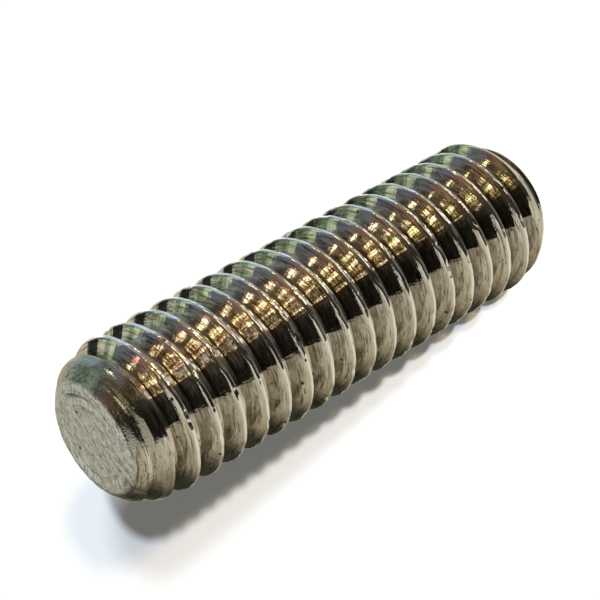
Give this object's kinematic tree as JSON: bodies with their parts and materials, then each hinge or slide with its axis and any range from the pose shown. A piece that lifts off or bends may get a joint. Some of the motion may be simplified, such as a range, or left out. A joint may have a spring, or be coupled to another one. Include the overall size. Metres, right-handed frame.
{
  "type": "set screw",
  "caption": "Headless hexagon-socket set screw with a right-hand metric thread, a chamfered flat point at one end and a hex socket at the other.",
  "frame": {"origin": "centre of the flat end face round the hex socket, which the screw stands on", "axes": "+Z along the screw's axis, from the socket end up to the flat point; two corners of the hexagon lie on the X axis"},
  "size_m": [0.0058, 0.0058, 0.0196],
  "materials": {
    "plated_steel": "bright nickel plating over a cut thread, with fine pits and handling nicks, duller and mottled on the flat point"
  },
  "bodies": {
    "root": {"set_screw": "plated_steel"}
  },
  "joints": []
}
